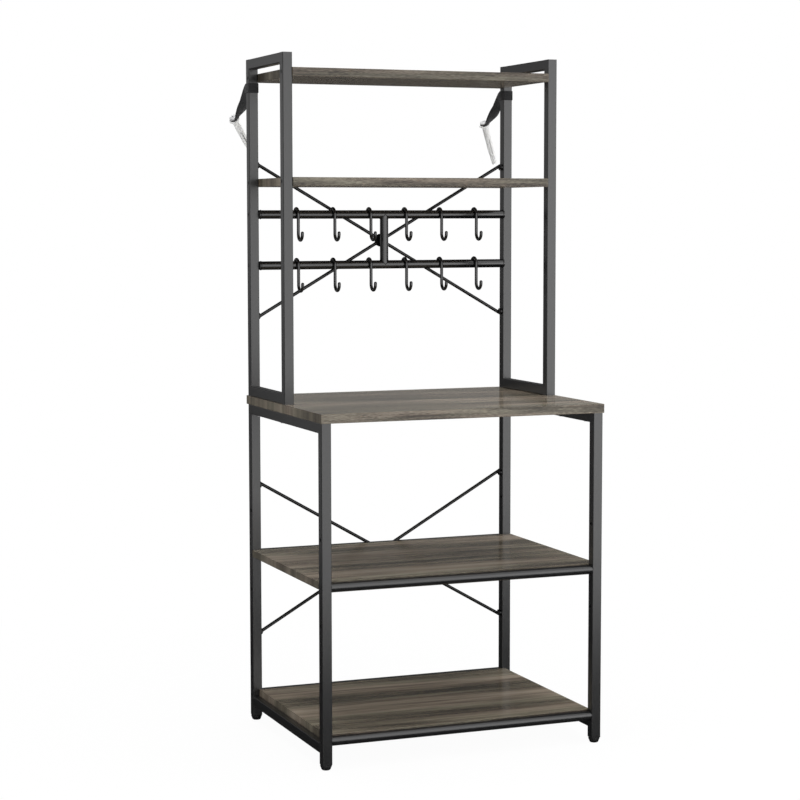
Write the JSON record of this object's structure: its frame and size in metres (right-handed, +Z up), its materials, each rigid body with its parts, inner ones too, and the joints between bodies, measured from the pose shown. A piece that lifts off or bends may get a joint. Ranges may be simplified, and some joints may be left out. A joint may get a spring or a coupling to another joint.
{
  "type": "bakers rack",
  "caption": "Freestanding kitchen bakers rack: square-tube side frames with wood boards, a countertop, a narrower hutch above, a hook rail, crossed rear braces and wall tethers.",
  "frame": {"origin": "on the floor at the centre of the four feet, between the lower frames", "axes": "+Z up, +X to the right seen from the front, the front faces -Y and the wall side is +Y"},
  "size_m": [0.6365, 0.6318, 1.393],
  "materials": {
    "frame_paint": "matt black powder coat",
    "hook_paint": "satin black coat",
    "board": "grey-brown wood grain, satin",
    "black_plastic": "matt",
    "webbing": "black webbing",
    "plug_plastic": "natural",
    "zinc_steel": "zinc plated",
    "black_steel": "black"
  },
  "bodies": {
    "rack": {"bottom_front_rail": "frame_paint", "bottom_rear_rail": "frame_paint", "bottom_shelf": "board", "brace_bolts": "black_steel", "countertop": "board", "countertop_screws": "zinc_steel", "hook_rail_bolts": "black_steel", "hook_rail_frame": "frame_paint", "hutch_bolts": "zinc_steel", "hutch_shelf_bolts": "black_steel", "left_lower_frame": "frame_paint", "left_upper_frame": "frame_paint", "leg_inserts": "black_plastic", "lower_brace_falling_rods": "frame_paint", "lower_brace_hub": "frame_paint", "lower_brace_rising_rods": "frame_paint", "middle_front_rail": "frame_paint", "middle_rear_rail": "frame_paint", "middle_shelf": "board", "rail_bolts": "black_steel", "right_lower_frame": "frame_paint", "right_upper_frame": "frame_paint", "rivet_nuts": "zinc_steel", "second_shelf": "board", "shelf_screws": "zinc_steel", "top_shelf": "board", "upper_brace_falling_rods": "frame_paint", "upper_brace_hub": "frame_paint", "upper_brace_rising_rods": "frame_paint"},
    "upper_hook_1": {"upper_hook_1": "hook_paint"},
    "upper_hook_2": {"upper_hook_2": "hook_paint"},
    "upper_hook_3": {"upper_hook_3": "hook_paint"},
    "upper_hook_4": {"upper_hook_4": "hook_paint"},
    "upper_hook_5": {"upper_hook_5": "hook_paint"},
    "upper_hook_6": {"upper_hook_6": "hook_paint"},
    "lower_hook_1": {"lower_hook_1": "hook_paint"},
    "lower_hook_2": {"lower_hook_2": "hook_paint"},
    "lower_hook_3": {"lower_hook_3": "hook_paint"},
    "lower_hook_4": {"lower_hook_4": "hook_paint"},
    "lower_hook_5": {"lower_hook_5": "hook_paint"},
    "lower_hook_6": {"lower_hook_6": "hook_paint"},
    "front_left_foot": {"front_left_foot": "black_plastic"},
    "front_right_foot": {"front_right_foot": "black_plastic"},
    "rear_left_foot": {"rear_left_foot": "black_plastic"},
    "rear_right_foot": {"rear_right_foot": "black_plastic"},
    "left_tether": {"left_wall_strap": "webbing", "left_wall_screw": "zinc_steel", "left_wall_plug": "plug_plastic"},
    "right_tether": {"right_wall_strap": "webbing", "right_wall_screw": "zinc_steel", "right_wall_plug": "plug_plastic"}
  },
  "joints": [
    {"name": "upper_hook_1_swing", "type": "hinge", "parent": "rack", "child": "upper_hook_1", "pos_m": [-0.19775, 0.2105, 1.073], "axis": [-1, 0, 0], "range_deg": [-15, 70]},
    {"name": "upper_hook_2_swing", "type": "hinge", "parent": "rack", "child": "upper_hook_2", "pos_m": [-0.11625, 0.2105, 1.073], "axis": [-1, 0, 0], "range_deg": [-15, 70]},
    {"name": "upper_hook_3_swing", "type": "hinge", "parent": "rack", "child": "upper_hook_3", "pos_m": [-0.03475, 0.2105, 1.073], "axis": [-1, 0, 0], "range_deg": [-15, 70]},
    {"name": "upper_hook_4_swing", "type": "hinge", "parent": "rack", "child": "upper_hook_4", "pos_m": [0.04675, 0.2105, 1.073], "axis": [-1, 0, 0], "range_deg": [-15, 70]},
    {"name": "upper_hook_5_swing", "type": "hinge", "parent": "rack", "child": "upper_hook_5", "pos_m": [0.12825, 0.2105, 1.073], "axis": [-1, 0, 0], "range_deg": [-15, 70]},
    {"name": "upper_hook_6_swing", "type": "hinge", "parent": "rack", "child": "upper_hook_6", "pos_m": [0.20975, 0.2105, 1.073], "axis": [-1, 0, 0], "range_deg": [-15, 70]},
    {"name": "lower_hook_1_swing", "type": "hinge", "parent": "rack", "child": "lower_hook_1", "pos_m": [-0.19775, 0.2105, 0.9664], "axis": [-1, 0, 0], "range_deg": [-15, 70]},
    {"name": "lower_hook_2_swing", "type": "hinge", "parent": "rack", "child": "lower_hook_2", "pos_m": [-0.11625, 0.2105, 0.9664], "axis": [-1, 0, 0], "range_deg": [-15, 70]},
    {"name": "lower_hook_3_swing", "type": "hinge", "parent": "rack", "child": "lower_hook_3", "pos_m": [-0.03475, 0.2105, 0.9664], "axis": [-1, 0, 0], "range_deg": [-15, 70]},
    {"name": "lower_hook_4_swing", "type": "hinge", "parent": "rack", "child": "lower_hook_4", "pos_m": [0.04675, 0.2105, 0.9664], "axis": [-1, 0, 0], "range_deg": [-15, 70]},
    {"name": "lower_hook_5_swing", "type": "hinge", "parent": "rack", "child": "lower_hook_5", "pos_m": [0.12825, 0.2105, 0.9664], "axis": [-1, 0, 0], "range_deg": [-15, 70]},
    {"name": "lower_hook_6_swing", "type": "hinge", "parent": "rack", "child": "lower_hook_6", "pos_m": [0.20975, 0.2105, 0.9664], "axis": [-1, 0, 0], "range_deg": [-15, 70]},
    {"name": "front_left_foot_height", "type": "slide", "parent": "rack", "child": "front_left_foot", "axis": [0, 0, -1], "range_m": [0, 0.008]},
    {"name": "front_right_foot_height", "type": "slide", "parent": "rack", "child": "front_right_foot", "axis": [0, 0, -1], "range_m": [0, 0.008]},
    {"name": "rear_left_foot_height", "type": "slide", "parent": "rack", "child": "rear_left_foot", "axis": [0, 0, -1], "range_m": [0, 0.008]},
    {"name": "rear_right_foot_height", "type": "slide", "parent": "rack", "child": "rear_right_foot", "axis": [0, 0, -1], "range_m": [0, 0.008]},
    {"name": "left_tether_slide", "type": "slide", "parent": "rack", "child": "left_tether", "axis": [0, 0, -1], "range_m": [-0.001, 0.13]},
    {"name": "right_tether_slide", "type": "slide", "parent": "rack", "child": "right_tether", "axis": [0, 0, -1], "range_m": [-0.001, 0.13]}
  ]
}
